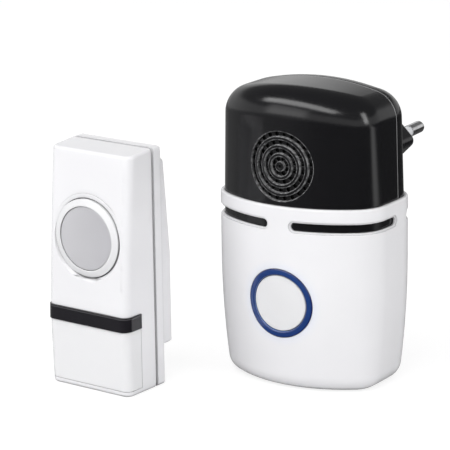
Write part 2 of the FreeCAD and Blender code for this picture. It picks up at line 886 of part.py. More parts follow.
def header_rods(width, y0, y1):
    """A row of square rods at the connection's pitch."""
    half = width / 2
    z = ring_z - header_drop
    rods = []
    for k in range(header_pins):
        x = header_pitch * (k - (header_pins - 1) / 2)
        rods.append(box(x - half, x + half, y0, y1, z - half, z + half))
    return rods


def ring_board_pins():
    """The pin strip on the back of the ring board."""
    y0 = ring_board_y + ring_board_thickness + nest_gap
    strip = header_block(y0, y0 + header_height)
    return join([strip] + header_rods(header_pin, y0 + 1, y0 + header_height + 4.5))


def ring_board_socket():
    """The tall socket on the main board that the pin strip enters."""
    y0 = ring_board_y + ring_board_thickness + header_height + 1.0
    return header_block(y0, board_y - nest_gap).cut(header_rods(header_pin + 0.12, y0 - 1, y0 + 5.0))


# Main board of the chime


def receiver_board():
    y0, y1 = board_y, board_y + board_thickness
    board = box(-board_half_width, board_half_width, y0, y1, board_low_z, board_high_z)
    holes = [rod_y(x, z, screw_shank + 0.1, y0 - 1, y1 + 1) for x, z in both_sides(board_screws)]
    for side in (-1, 1):
        holes.append(rod_y(side * lead_x, lead_z, lead_radius + 0.1, y0 - 1, y1 + 1))
    return board.cut(holes)


def chip(x, z, wide, tall, thick, legs):
    """A flat chip on the board's front face, with a row of legs on both sides."""
    y1 = board_y - 0.15
    body = box(x - wide / 2, x + wide / 2, y1 - thick, y1, z - tall / 2, z + tall / 2)
    dimple = rod_y(x - wide / 2 + 0.8, z + tall / 2 - 0.8, 0.3, y1 - thick - 1, y1 - thick + 0.15)
    pieces = [body.cut(dimple)]
    end = board_y - nest_gap
    for k in range(legs):
        left = x - wide / 2 + wide * (k + 0.5) / legs - 0.2
        for base, low, high in ((z + tall / 2 + 0.02, 0, 0.25), (z - tall / 2 - 0.02, -0.25, 0)):
            foot_low, foot_high = (0, 0.9) if high else (-0.9, 0)
            foot = box(left, left + 0.4, end - 0.25, end, base + foot_low, base + foot_high)
            drop = box(left, left + 0.4, y1 - thick * 0.6, end, base + low, base + high)
            pieces.append(join([foot, drop]))
    return group(pieces)


def on_board(wide, deep, tall, x, z, round_edge):
    """A block standing on the board's front face."""
    y1 = board_y - nest_gap
    block = box(x - wide / 2, x + wide / 2, y1 - deep, y1, z - tall / 2, z + tall / 2)
    return block.makeFillet(round_edge, block.Edges)


def smoothing_capacitor():
    """A can capacitor standing on the board, with the crimp near its base."""
    y1 = board_y - nest_gap
    x = board_half_width - 7.0
    can = rod_y(x, 38.0, 4.0, y1 - 9.5, y1)
    can = can.makeFillet(0.5, [e for e in can.Edges if abs(e.CenterOfMass.y - (y1 - 9.5)) < 0.01])
    return can.cut(tube_y(x, 38.0, 3.7, 5, y1 - 2.2, y1 - 1.5))


def coil(x, y, z0, radius, wire, pitch, turns, along_z=True):
    """A round wire wound into a coil about a vertical line."""
    helix = Part.makeHelix(pitch, pitch * turns, radius)
    circle = Part.Wire([Part.makeCircle(wire, Vec(radius, 0, 0), Vec(0, 1, 0))])
    wound = Part.Wire(helix.Edges).makePipeShell([circle], True, True)
    wound.translate(Vec(x, y, z0))
    return wound


def bent_wire(points, radius, bend):
    """A round wire along a line with rounded corners."""
    line = [Vec(*p) for p in points]
    edges = []
    start = line[0]
    for a, b, c in zip(line, line[1:], line[2:]):
        back, on = (a - b).normalize(), (c - b).normalize()
        half = math.acos(max(-1, min(1, back.dot(on)))) / 2
        cut = bend / math.tan(half)
        p, q = b + back * cut, b + on * cut
        middle = (back + on).normalize()
        top = b + middle * (bend / math.sin(half) - bend)
        edges.append(Part.makeLine(start, p))
        edges.append(Part.Arc(p, top, q).toShape())
        start = q
    edges.append(Part.makeLine(start, line[-1]))
    path = Part.Wire(edges)
    circle = Part.Wire([Part.makeCircle(radius, line[0], line[1] - line[0])])
    return path.makePipeShell([circle], True, True)


def mains_leads():
    """Two insulated wires from the pins' tails to the main board."""
    leads = []
    for side in (-1, 1):
        tail_x = side * (pin_spacing / 2 + (pin_spacing - pin_tip_spacing) / 2 * pin_tail / pin_length)
        end = plug_face_y - pin_tail - nest_gap - 0.05
        down = nose_start() - lead_radius - lead_room
        leads.append(bent_wire([
            (tail_x, end, plug_z), (tail_x, down, plug_z), (side * lead_x, down, lead_z),
            (side * lead_x, board_y - 0.8, lead_z),
        ], lead_radius, lead_bend))
    return group(leads)


def speaker_leads():
    """Two thin wires from the back of the speaker's flange to the main board."""
    leads = []
    start = speaker_rear_y + 0.5
    upper = speaker_z - speaker_radius + 1.3
    low = board_high_z - 2.5
    back = board_y - 4.4
    for side in (-1, 1):
        x = side * speaker_lead_x
        leads.append(bent_wire([
            (x, start, upper), (x, back, upper), (x, back, low), (x, board_y - nest_gap, low),
        ], speaker_lead_radius, speaker_lead_bend))
    return group(leads)


def receiver_rf_board():
    """A small upright radio board on the main board's front face."""
    y1 = board_y - nest_gap
    x = -board_half_width + 2.4
    return box(x, x + 0.8, y1 - 9.0, y1, 22.0, 36.0)


def receiver_antenna():
    return coil(-board_half_width + 5.8, board_y - 5.0, 24.0, 1.7, 0.3, 1.2, 8)


def resonator_can():
    y1 = board_y - nest_gap
    can = box(4.0, 9.0, y1 - 3.5, y1, 10.5, 14.5)
    return can.makeFillet(0.6, can.Edges)


# Push unit, outside forms


def unit_face(z):
    """Where the push unit's face is at height z."""
    if z > unit_belly_z:
        share, end = (z - unit_belly_z) / (unit_height - unit_belly_z), unit_face_top
    else:
        share, end = (unit_belly_z - z) / unit_belly_z, unit_face_bottom
    return -unit_face_belly + (unit_face_belly - end) * share ** unit_face_power


def unit_form(grow):
    """The push unit's front form, moved outwards by grow; it ends behind the seam."""
    half = unit_width / 2 + grow
    low, high = -grow, unit_height + grow

    def arc(z0, z1):
        a, b, c = [Vec(-half, unit_face(z) - grow, z) for z in (z0, (z0 + z1) / 2, z1)]
        return Part.Arc(a, b, c).toShape()

    front_top = high - unit_top_drop
    belly = arc(unit_belly_z, front_top)
    lower = arc(low, unit_belly_z)
    back = 3.0
    a = Vec(-half, unit_face(low) - grow, low)
    b = Vec(-half, unit_face(front_top) - grow, front_top)
    wire = Part.Wire(Part.__sortEdges__([
        lower, belly,
        Part.makeLine(b, Vec(-half, 0, high)),
        Part.makeLine(Vec(-half, 0, high), Vec(-half, back, high)),
        Part.makeLine(Vec(-half, back, high), Vec(-half, back, low)),
        Part.makeLine(Vec(-half, back, low), a),
    ]))
    block = Part.Face(wire).extrude(Vec(2 * half, 0, 0))
    corner = max(0.4, unit_corner_radius + grow)
    uprights = [
        e for e in block.Edges
        if e.Length > unit_belly_z * 0.6 and e.CenterOfMass.y < -6 and abs(e.CenterOfMass.x) > half - 0.1
    ]
    block = block.makeFillet(corner, uprights)
    rounding = max(0.4, unit_edge_round + grow * 0.5)
    ends = [
        e for e in block.Edges
        if e.CenterOfMass.y < back - 0.1 and (e.BoundBox.ZMin > high - 1.5 or e.BoundBox.ZMax < low + 0.1)
        and not (abs(e.CenterOfMass.y) < 0.01 and e.BoundBox.YLength < 0.1)
    ]
    return block.makeFillet(rounding, ends)


unit_front_end = -unit_seam_gap / 2
unit_rear_start = unit_seam_gap / 2


def in_front(y):
    return box(-far, far, -far, y, -far, far)


def between(z0, z1):
    return box(-far, far, -far, far, z0, z1)


def tray_form(grow, y0, y1):
    """The push unit's rear outline as a block."""
    half = unit_width / 2 + grow
    block = box(-half, half, y0, y1, -grow, unit_height + grow)
    long_edges = [e for e in block.Edges if abs(e.Vertexes[0].Y - e.Vertexes[1].Y) > (y1 - y0) / 2]
    return block.makeFillet(unit_edge_round + grow * 0.5, long_edges)


window_room = window_thickness + nest_gap
card_room = window_room + card_thickness + 2 * nest_gap
band_high_z = band_low_z + band_height
window_high_z = band_low_z - window_gap


button_front_y = unit_face(button_z)
button_flange_top = button_z + button_hole_radius - button_clearance + button_flange_width
button_seat_y = unit_face(button_flange_top) + unit_wall + button_seat_gap


def transmitter_front_cover():
    outside = unit_form(0)
    inside = unit_form(-unit_wall)
    cover = outside.cut(inside).common(in_front(unit_front_end))
    low_wall = outside.common(between(0.5, band_high_z + 1.2)).common(in_front(wrap_end_y))
    cover = cover.fuse(low_wall.cut(unit_form(-backing_depth)))
    reach = unit_front_end - unit_tongue_reach - nest_gap
    lip = unit_form(-unit_tongue_depth + nest_gap).cut(unit_form(-unit_wall - nest_gap))
    room = lip.common(box(-far, far, reach, far, -far, far))
    hole = rod_y(0, button_z, button_hole_radius, -far, button_seat_y + 1)
    collar = tube_y(
        0, button_z, button_hole_radius, button_hole_radius + 1.3, button_front_y + 0.6, button_seat_y
    )
    flare = button_hole_chamfer + 0.4
    bevel = Part.makeCone(
        button_hole_radius + button_hole_chamfer + flare, button_hole_radius, button_hole_chamfer + flare,
        Vec(0, button_front_y - flare, button_z), Vec(0, 1, 0)
    )
    cover = cover.fuse(collar).cut([room, hole, bevel])
    window = between(window_low_z - window_gap, window_high_z + window_gap)
    wrapped = in_front(wrap_end_y + window_gap)
    recess = window.common(wrapped).cut(unit_form(-window_room))
    card = card_block(nest_gap).cut(unit_form(-card_room))
    groove = between(band_low_z - nest_gap, band_high_z + nest_gap).common(wrapped)
    groove = groove.cut(unit_form(-band_inset - nest_gap))
    return cover.cut([recess, card, groove])


def card_block(margin):
    half = card_half_width + margin
    low = window_low_z + card_margin - margin
    return box(-half, half, -far, wrap_end_y, low, window_high_z - card_margin + margin)


def name_window():
    pane = unit_form(0).cut(unit_form(-window_thickness))
    return pane.common(between(window_low_z, window_high_z)).common(in_front(wrap_end_y))


def name_card():
    paper = unit_form(-window_room - nest_gap).cut(unit_form(-window_room - nest_gap - card_thickness))
    return paper.common(card_block(0))


def trim_band():
    band = unit_form(band_proud).cut(unit_form(-band_inset))
    return band.common(between(band_low_z, band_high_z)).common(in_front(wrap_end_y))


def button_cap():
    """The bevelled ring and skirt of the push button, with its retaining flange."""
    front = button_front_y - button_proud
    radius = button_hole_radius - button_clearance
    hold = button_seat_y + nest_gap
    inner = radius - button_wall
    bowl = disc_radius + disc_gap
    floor = front + disc_recess + disc_thickness + nest_gap
    stem_end = unit_board_y - switch_height - plunger_stand - stem_gap
    rim = radius - button_bevel_width
    profile = [
        (0, floor), (bowl - 0.15, floor), (bowl - 0.15, front), (rim, front),
        (radius, front + button_bevel_height), (radius, hold),
        (radius + button_flange_width, hold),
        (radius + button_flange_width, hold + button_flange_thickness),
        (inner, hold + button_flange_thickness), (inner, floor + button_wall),
        (stem_radius, floor + button_wall), (stem_radius, stem_end), (0, stem_end),
    ]
    return turned_y(profile, 0, button_z)


def button_disc():
    front = button_front_y - button_proud + disc_recess
    disc = rod_y(0, button_z, disc_radius, front, front + disc_thickness)
    return disc.makeFillet(0.2, [e for e in disc.Edges if abs(e.CenterOfMass.y - front) < 0.01])


def bracket_plane():
    return unit_rear_depth + bracket_gap


def keyhole_cuts():
    """Round openings with a narrow slot above each, for the bracket's studs."""
    cuts = []
    near, deep = unit_rear_depth - unit_rear_wall - 1, far
    for x, z in both_sides([(stud_x, h) for h in stud_heights]):
        low = z - bracket_travel
        wide = stud_head_radius + stud_clearance
        narrow = stud_radius + stud_clearance
        cuts.append(rod_y(x, low, wide, near, deep))
        cuts.append(rod_y(x, z, narrow, near, deep))
        cuts.append(box(x - narrow, x + narrow, near, deep, low, z))
    return cuts


def transmitter_rear_cover():
    tray = tray_form(0, unit_rear_start, unit_rear_depth)
    back = [e for e in tray.Edges if abs(e.CenterOfMass.y - unit_rear_depth) < 0.01]
    tray = tray.makeFillet(unit_rear_round, back)
    hollow = tray_form(-unit_wall, -1, unit_rear_depth - unit_rear_wall)
    tongue = unit_form(-unit_tongue_depth).cut(unit_form(-unit_wall))
    start = unit_front_end - unit_tongue_reach
    tongue = tongue.common(box(-far, far, start, unit_rear_start + 0.6, -far, far))
    tongue = tongue.common(tray_form(-unit_tongue_depth, -far, far))
    floor = unit_rear_depth - unit_rear_wall
    end_z = battery_low_z + battery_length
    cradle = box(-cradle_side, cradle_side, battery_y + 0.6, floor + 0.5, battery_low_z - 0.6, end_z + 0.4)
    cradle = cradle.cut(rod_z(0, battery_y, battery_radius + battery_clearance, 0, end_z + 5))
    stop_z = end_z + plate_room
    stop = box(-cradle_side, cradle_side, battery_y - 3.0, floor + 0.5, stop_z, stop_z + 1.2)
    pegs = [tongue, cradle, stop]
    holes = []
    for x, z in both_sides(unit_board_screws):
        top = unit_board_y + unit_board_thickness + nest_gap
        pegs.append(rod_y(x, z, unit_post_radius, top, floor + 0.5))
        holes.append(rod_y(x, z, speaker_shank + nest_gap, top - 1, top + 3.4))
    return join([tray.cut(hollow)] + pegs).cut(holes + keyhole_cuts())


def wall_bracket():
    """The plate for the wall, with four mushroom studs that hook into the push unit's back."""
    half = unit_width / 2 - bracket_side_inset
    y0 = bracket_plane()
    deep = y0 + bracket_thickness
    top_deep = y0 + bracket_top_thickness
    outline = [
        Vec(-half, y0, bracket_low_z), Vec(-half, deep - bracket_chamfer, bracket_low_z),
        Vec(-half, deep, bracket_low_z + bracket_chamfer), Vec(-half, deep, bracket_ramp_z),
        Vec(-half, top_deep, bracket_top_z), Vec(-half, y0, bracket_top_z),
    ]
    block = Part.Face(Part.makePolygon(outline + [outline[0]])).extrude(Vec(2 * half, 0, 0))
    corners = [e for e in block.Edges if abs(e.Vertexes[0].Y - e.Vertexes[1].Y) > 1 and e.Length < 6
               and e.BoundBox.ZLength < 0.1]
    block = block.makeFillet(1.2, corners)
    inner = [
        Vec(-half + bracket_wall, y0 - 1, bracket_low_z + bracket_wall),
        Vec(-half + bracket_wall, deep - bracket_wall, bracket_low_z + bracket_wall),
        Vec(-half + bracket_wall, deep - bracket_wall, bracket_ramp_z),
        Vec(-half + bracket_wall, top_deep - bracket_wall + 0.3, bracket_top_z - bracket_wall),
        Vec(-half + bracket_wall, y0 - 1, bracket_top_z - bracket_wall),
    ]
    hollow = Part.Face(Part.makePolygon(inner + [inner[0]])).extrude(Vec(2 * (half - bracket_wall), 0, 0))
    head_back = unit_rear_depth - unit_rear_wall - 0.25
    pegs = []
    for x, z in both_sides([(stud_x, h) for h in stud_heights]):
        boss = rod_y(x, z, stud_head_radius, y0, far).common(block)
        pegs.append(boss)
        pegs.append(rod_y(x, z, stud_radius, head_back, y0 + 0.5))
        pegs.append(rod_y(x, z, stud_head_radius, head_back - stud_head_thickness, head_back))
    bores = []
    for k in (0, 1):
        z = wall_screw_low_z + wall_screw_spacing * k
        pegs.append(rod_y(0, z, wall_screw_radius + 2.4, y0, deep))
        bores.append(rod_y(0, z, wall_screw_radius, y0 - 1, far))
        bores.append(rod_y(0, z, wall_screw_radius + 1.4, y0 - 1, y0 + bracket_thickness - bracket_wall))
    return join([block.cut(hollow)] + pegs).cut(bores)


# Push unit, inside


def battery():
    """A small round cell with a raised contact at its top."""
    nub = 0.7
    top = battery_low_z + battery_length
    can = rod_z(0, battery_y, battery_radius, battery_low_z, top - nub)
    can = can.makeFillet(0.5, [e for e in can.Edges if e.Length > battery_radius * 6])
    return join([can, rod_z(0, battery_y, 2.3, top - nub - 0.2, top)])


def battery_spring():
    wire = 0.3
    low = unit_wall + 0.5 + wire
    rise = battery_low_z - nest_gap - wire - low
    return coil(0, battery_y, low, 3.2, wire, rise / 3, 3)


def spring_plate():
    return box(-4.5, 4.5, battery_y - 4.2, 2.5, unit_wall + nest_gap, unit_wall + 0.4)


def battery_plate():
    z0 = battery_low_z + battery_length + nest_gap
    return box(-3.6, 3.6, battery_y - 2.8, battery_y + 3.7, z0, z0 + plate_room - 2 * nest_gap)


def transmitter_board():
    y0, y1 = unit_board_y, unit_board_y + unit_board_thickness
    board = box(-unit_board_half_width, unit_board_half_width, y0, y1, unit_board_low_z, unit_board_high_z)
    holes = [rod_y(x, z, speaker_shank + 0.1, y0 - 1, y1 + 1) for x, z in both_sides(unit_board_screws)]
    return board.cut(holes)


def transmitter_screws():
    seat = unit_board_y - nest_gap
    places = both_sides(unit_board_screws)
    reach = unit_board_thickness + 3.0
    return group([screw(x, z, seat, -1, reach, speaker_shank, 1.8) for x, z in places])


def unit_block(wide, deep, tall, x, z, edge):
    """A block on the push unit's board."""
    y1 = unit_board_y - nest_gap
    block = box(x - wide / 2, x + wide / 2, y1 - deep, y1, z - tall / 2, z + tall / 2)
    return block.makeFillet(edge, block.Edges)


def at_button(shape):
    shape.translate(Vec(0, 0, button_z))
    return shape


receiver = {
    "receiver_cup": receiver_cup(),
    "receiver_front_shell": receiver_front_shell(),
    "receiver_rear_shell": receiver_rear_shell(),
    "plug_pin_left": plug_pin(-1),
    "plug_pin_right": plug_pin(1),
    "pin_sleeves": group([pin_sleeve(-1), pin_sleeve(1)]),
    "pin_carrier": pin_carrier(),
    "light_ring": light_ring(),
    "melody_button": melody_button(),
    "melody_switch": at_ring(push_switch(ring_board_y)),
    "melody_switch_plunger": at_ring(switch_plunger(ring_board_y)),
    "ring_board": ring_board(),
    "ring_board_screws": ring_board_screws(),
    "ring_leds": ring_leds(),
    "ring_board_pins": ring_board_pins(),
    "ring_board_socket": ring_board_socket(),
    "grille_cloth": dust_cloth(),
    "speaker_gasket": speaker_gasket(),
    "speaker_frame": speaker_frame(),
    "speaker_cone": speaker_cone(),
    "speaker_magnet": speaker_magnet(),
    "speaker_screws": speaker_screws(),
    "receiver_board": receiver_board(),
    "board_screws": board_screw_set(),
    "mains_leads": mains_leads(),
    "speaker_leads": speaker_leads(),
    "film_capacitor": on_board(12.0, 7.0, 11.0, -board_half_width + 14.4, 31.0, 0.8),
    "smoothing_capacitor": smoothing_capacitor(),
    "bridge_rectifier": on_board(6.4, 2.6, 4.6, 6.5, 49.5, 0.3),
    "chime_chip": chip(-4.0, 15.0, 9.0, 4.0, 1.5, 7),
    "resonator_can": resonator_can(),
    "receiver_radio_board": receiver_rf_board(),
    "receiver_antenna": receiver_antenna(),
    "case_screws": case_screw_set(),
    "cup_screws": cup_screw_set(),
}

push_unit = {
    "transmitter_front_cover": transmitter_front_cover(),
    "button_cap": button_cap(),
    "button_disc": button_disc(),
    "trim_band": trim_band(),
    "name_window": name_window(),
    "name_card": name_card(),
    "transmitter_rear_cover": transmitter_rear_cover(),
    "wall_bracket": wall_bracket(),
    "transmitter_board": transmitter_board(),
    "transmitter_screws": transmitter_screws(),
    "button_switch": at_button(push_switch(unit_board_y)),
    "button_switch_plunger": at_button(switch_plunger(unit_board_y)),
    "encoder_chip": unit_block(4.9, 1.5, 6.0, -6.4, unit_upper_screw_z - unit_chip_drop, 0.2),
    "transmitter_resonator": unit_block(6.0, 3.2, 4.0, 5.5, unit_upper_screw_z - unit_resonator_drop, 0.5),
    "transmitter_antenna": coil(0, unit_board_y - 2.4, unit_height - unit_antenna_room, 1.6, 0.3, 1.2, 6),
    "battery": battery(),
    "battery_spring": battery_spring(),
    "spring_plate": spring_plate(),
    "battery_plate": battery_plate(),
}

turn = FreeCAD.Rotation(Vec(0, 0, 1), -unit_turn)
spring_axis = Vec(0, battery_y, 0)
for name, shape in push_unit.items():
    if name == "battery_spring":
        # A coil looks the same from every side, so it moves with the turn and isn't turned itself.
        shape.translate(turn.multVec(spring_axis) - spring_axis)
    else:
        shape.rotate(Vec(0, 0, 0), Vec(0, 0, 1), -unit_turn)
    shape.translate(Vec(unit_x, unit_seam_y, 0))

parts = {**receiver, **push_unit}
edge_pieces = ("receiver_cup", "plug_pin_left", "plug_pin_right", "transmitter_front_cover", "trim_band")
limits = group([parts[name] for name in edge_pieces]).optimalBoundingBox()
base_centre = Vec(limits.Center.x, limits.Center.y, 0)

for name, shape in parts.items():
    shape.translate(-base_centre)
    shape.exportStep("parts/" + name + ".step")
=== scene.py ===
import json
import math

import bpy
from mathutils import Matrix, Vector


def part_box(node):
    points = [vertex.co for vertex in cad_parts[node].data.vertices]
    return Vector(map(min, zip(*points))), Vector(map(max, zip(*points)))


# The doorbell set in one scene: the chime with its cup and light ring, and the push unit beside it.
# Lengths are in metres. The exact solids come from the frame; this script gives them their finishes
# and sets up the floor, the lamps and the camera.

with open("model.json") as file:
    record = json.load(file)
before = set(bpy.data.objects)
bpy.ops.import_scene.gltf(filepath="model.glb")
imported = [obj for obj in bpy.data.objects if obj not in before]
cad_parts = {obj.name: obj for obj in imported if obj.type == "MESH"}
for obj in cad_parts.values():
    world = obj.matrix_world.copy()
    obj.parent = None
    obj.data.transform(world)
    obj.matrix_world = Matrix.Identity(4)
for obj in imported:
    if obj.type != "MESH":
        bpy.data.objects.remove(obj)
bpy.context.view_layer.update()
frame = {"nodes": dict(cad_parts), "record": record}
solids = frame["nodes"]


# Short names for building node trees


def put(tree, kind, inputs=None, **settings):
    """Add a shader node, set its properties, and fill its inputs with values or other nodes' sockets."""
    node = tree.nodes.new("ShaderNode" + kind)
    for key, value in settings.items():
        setattr(node, key, value)
    for key, value in (inputs or {}).items():
        if isinstance(value, bpy.types.NodeSocket):
            tree.links.new(value, node.inputs[key])
        else:
            node.inputs[key].default_value = value
    return node


def maths(tree, operation, a, b=0.0, c=0.0):
    """One sum on two or three values."""
    return put(tree, "Math", {0: a, 1: b, 2: c}, operation=operation).outputs[0]


def product(tree, a, b):
    return maths(tree, "MULTIPLY", a, b)


def gap_to(tree, value, mark):
    """How far a value is from a mark, on either side of it."""
    return maths(tree, "ABSOLUTE", maths(tree, "SUBTRACT", value, mark))


def spread(tree, value, low, high, to_low=0.0, to_high=1.0, smooth=False):
    """Map a value from one range to another, clamped."""
    kind = "SMOOTHSTEP" if smooth else "LINEAR"
    inputs = {"Value": value, "From Min": low, "From Max": high, "To Min": to_low, "To Max": to_high}
    return put(tree, "MapRange", inputs, interpolation_type=kind).outputs["Result"]


def fade_out(tree, value, start, end, strength=1.0, smooth=True):
    """The full strength up to the start, and nothing from the end on."""
    return spread(tree, value, start, end, strength, 0.0, smooth)


def blend_colours(tree, share, a, b):
    """A colour between a and b."""
    return put(tree, "Mix", {0: share, 6: a, 7: b}, data_type="RGBA").outputs[2]


def place(tree):
    """Where a point is on the object, in metres."""
    return put(tree, "TexCoord").outputs["Object"]


def along(tree, where, axis):
    """One coordinate of a place."""
    return put(tree, "SeparateXYZ", {0: where}).outputs[axis]


def speckle(tree, where, scale, detail=2.0, roughness=0.5):
    """A soft random pattern from 0 to 1."""
    inputs = {"Vector": where, "Scale": scale, "Detail": detail, "Roughness": roughness}
    return put(tree, "TexNoise", inputs).outputs["Fac"]


def scaled(tree, values, scale):
    """A place or a colour with each of its three values multiplied."""
    return put(tree, "VectorMath", {0: values, 1: scale}, operation="MULTIPLY").outputs[0]


def distance_in_face(tree, where, centre):
    """How far a point is from a centre, seen from the front."""
    moved = put(tree, "VectorMath", {0: where, 1: centre}, operation="SUBTRACT").outputs[0]
    flat = scaled(tree, moved, (1, 0, 1))
    return put(tree, "VectorMath", {0: flat}, operation="LENGTH").outputs["Value"]


def raised(tree, height, inputs=None):
    """A normal that follows a height in metres."""
    inputs = {"Strength": 1.0, "Distance": 1.0, "Height": height, **(inputs or {})}
    return put(tree, "Bump", inputs).outputs["Normal"]


def colour(red, green, blue):
    return (red, green, blue, 1.0)


def grey(level):
    return colour(level, level, level)


def new_group(name, sockets_in, sockets_out):
    """An empty node group with these named sockets, given as (name, kind, value) and (name, kind)."""
    group = bpy.data.node_groups.new(name, "ShaderNodeTree")
    kinds = {"colour": "NodeSocketColor", "value": "NodeSocketFloat", "vector": "NodeSocketVector"}
    for label, kind, value in sockets_in:
        socket = group.interface.new_socket(name=label, in_out="INPUT", socket_type=kinds[kind])
        socket.default_value = value
    for label, kind in sockets_out:
        group.interface.new_socket(name=label, in_out="OUTPUT", socket_type=kinds[kind])
    entry = group.nodes.new("NodeGroupInput").outputs
    leave = group.nodes.new("NodeGroupOutput").inputs
    return group, entry, leave


# Shared effects, each a node group with its own inputs

edge_radius = 0.0004
gap_shade_reach = 0.0016


def moulded_skin_group():
    """Injection-moulded plastic: a tone that drifts a little and is darkened by painted shade in narrow
    gaps, a faint grain, soft waves and smudges in the gloss, and edges that catch the light."""
    group, given, out = new_group(
        "moulded skin",
        [
            ("Tone", "colour", grey(0.8)),
            ("Deep Tone", "colour", grey(0.75)),
            ("Gloss", "value", 0.3),
            ("Gloss Drift", "value", 0.05),
            ("Grain Scale", "value", 3000.0),
            ("Grain Depth", "value", 0.000004),
            ("Wave Depth", "value", 0.000004),
        ],
        [("Color", "colour"), ("Roughness", "value"), ("Normal", "vector")],
    )
    where = place(group)
    drift = speckle(group, where, scale=38.0, detail=3.0)
    grain = speckle(group, where, given["Grain Scale"], detail=1.0)
    wave = speckle(group, where, scale=160.0, detail=1.0)
    smudge = speckle(group, where, scale=90.0, detail=5.0, roughness=0.62)

    tone = blend_colours(group, spread(group, drift, 0.35, 0.65), given["Tone"], given["Deep Tone"])
    # Painted shade: the tone is darkened where narrow gaps close in round the surface.
    gap_openness = put(group, "AmbientOcclusion", {"Distance": gap_shade_reach}, samples=4).outputs["AO"]
    painted_gap_shade = spread(group, gap_openness, 0.25, 0.85, to_low=0.55)
    painted_gap_shade = put(group, "CombineColor", {0: painted_gap_shade, 1: painted_gap_shade, 2: painted_gap_shade}).outputs[0]
    group.links.new(scaled(group, tone, painted_gap_shade), out["Color"])

    either_way = spread(group, smudge, 0.3, 0.7, to_low=-1)
    rough = maths(group, "MULTIPLY_ADD", either_way, given["Gloss Drift"], given["Gloss"])
    group.links.new(rough, out["Roughness"])

    height = product(group, grain, given["Grain Depth"])
    height = maths(group, "MULTIPLY_ADD", wave, given["Wave Depth"], height)
    soft_edge = put(group, "Bevel", {"Radius": edge_radius}, samples=6).outputs["Normal"]
    group.links.new(raised(group, height, {"Normal": soft_edge}), out["Normal"])
    return group


def drawn_metal_group():
    """Rolled or drawn metal: fine lines one way, small dull spots and a drifting tone."""
    group, given, out = new_group(
        "drawn metal",
        [
            ("Tone", "colour", grey(0.6)),
            ("Deep Tone", "colour", grey(0.45)),
            ("Gloss", "value", 0.3),
            ("Gloss Drift", "value", 0.09),
            ("Line Way", "vector", (1.0, 1.0, 12.0)),
            ("Line Depth", "value", 0.000003),
        ],
        [("Color", "colour"), ("Roughness", "value"), ("Normal", "vector")],
    )
    where = place(group)
    lines = speckle(group, scaled(group, where, given["Line Way"]), scale=900.0, detail=3.0)
    spots = speckle(group, where, scale=420.0, detail=4.0)
    tone = blend_colours(group, spread(group, spots, 0.4, 0.66), given["Tone"], given["Deep Tone"])
    group.links.new(tone, out["Color"])
    either_way = spread(group, lines, 0.3, 0.7, to_low=-1)
    rough = maths(group, "MULTIPLY_ADD", either_way, given["Gloss Drift"], given["Gloss"])
    group.links.new(rough, out["Roughness"])
    group.links.new(raised(group, product(group, lines, given["Line Depth"])), out["Normal"])
    return group


moulded_skin = moulded_skin_group()
drawn_metal = drawn_metal_group()


# Finishes

finishes = {}


def new_finish(name, roughness=0.4, metallic=0.0, **sockets):
    """A material with its Principled shader, set with plain values."""
    material = bpy.data.materials.new(name)
    material.use_nodes = True
    tree = material.node_tree
    shader = tree.nodes["Principled BSDF"]
    shader.inputs["Roughness"].default_value = roughness
    shader.inputs["Metallic"].default_value = metallic
    for key, value in sockets.items():
        shader.inputs[key.replace("_", " ")].default_value = value
    finishes[name] = material
    return tree, shader


def join_up(tree, shader, given, tone=None):
    """Feed the shader from a shared effect, with another tone where one is given."""
    tree.links.new(tone or given["Color"], shader.inputs["Base Color"])
    tree.links.new(given["Roughness"], shader.inputs["Roughness"])
    tree.links.new(given["Normal"], shader.inputs["Normal"])


def plastic(name, tone, deep, gloss, drift=0.04, grain=3000.0, depth=0.000003, wave=0.000003, **sockets):
    """A moulded plastic finish."""
    tree, shader = new_finish(name, **sockets)
    values = {
        "Tone": colour(*tone), "Deep Tone": colour(*deep), "Gloss": gloss, "Gloss Drift": drift,
        "Grain Scale": grain, "Grain Depth": depth, "Wave Depth": wave,
    }
    given = put(tree, "Group", values, node_tree=moulded_skin).outputs
    join_up(tree, shader, given)
    return tree, shader, given


def metal(name, tone, deep, gloss, way=(1.0, 1.0, 12.0), depth=0.000003):
    """A metal finish."""
    tree, shader = new_finish(name, metallic=1.0)
    values = {
        "Tone": colour(*tone), "Deep Tone": colour(*deep), "Gloss": gloss,
        "Line Way": way, "Line Depth": depth,
    }
    join_up(tree, shader, put(tree, "Group", values, node_tree=drawn_metal).outputs)


def textured(tree, shader, tone, height):
    """Give the shader a colour and a surface that follows a height."""
    tree.links.new(tone, shader.inputs["Base Color"])
    tree.links.new(raised(tree, height), shader.inputs["Normal"])


gloss_white = {"tone": (0.76, 0.757, 0.775), "deep": (0.74, 0.737, 0.755), "gloss": 0.22,
               "grain": 2600.0, "depth": 0.000002}
ring_flange = 0.0012
ring_width = 0.00195
ring_low, ring_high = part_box("light_ring")
ring_centre = tuple((ring_low + ring_high) / 2)
ring_radius = (ring_high.z - ring_low.z) / 2 - ring_flange


def cup_white():
    """The cup's white, with a painted blue glow round the front of the ring, as if the ring's light fell
    on the cup.
    """
    tree, shader, given = plastic("cup white", **gloss_white)
    glow_start, glow_end = ring_radius - 0.001, ring_radius + 0.0035
    where = place(tree)
    away = distance_in_face(tree, where, ring_centre)
    # Painted light: a faint blue glow on the white near the ring.
    painted_ring_glow = fade_out(tree, away, glow_start, glow_end, strength=0.35)
    in_front = maths(tree, "LESS_THAN", along(tree, where, "Y"), ring_high.y)
    tone = blend_colours(tree, product(tree, painted_ring_glow, in_front), given["Color"], colour(0.60, 0.67, 0.83))
    join_up(tree, shader, given, tone)


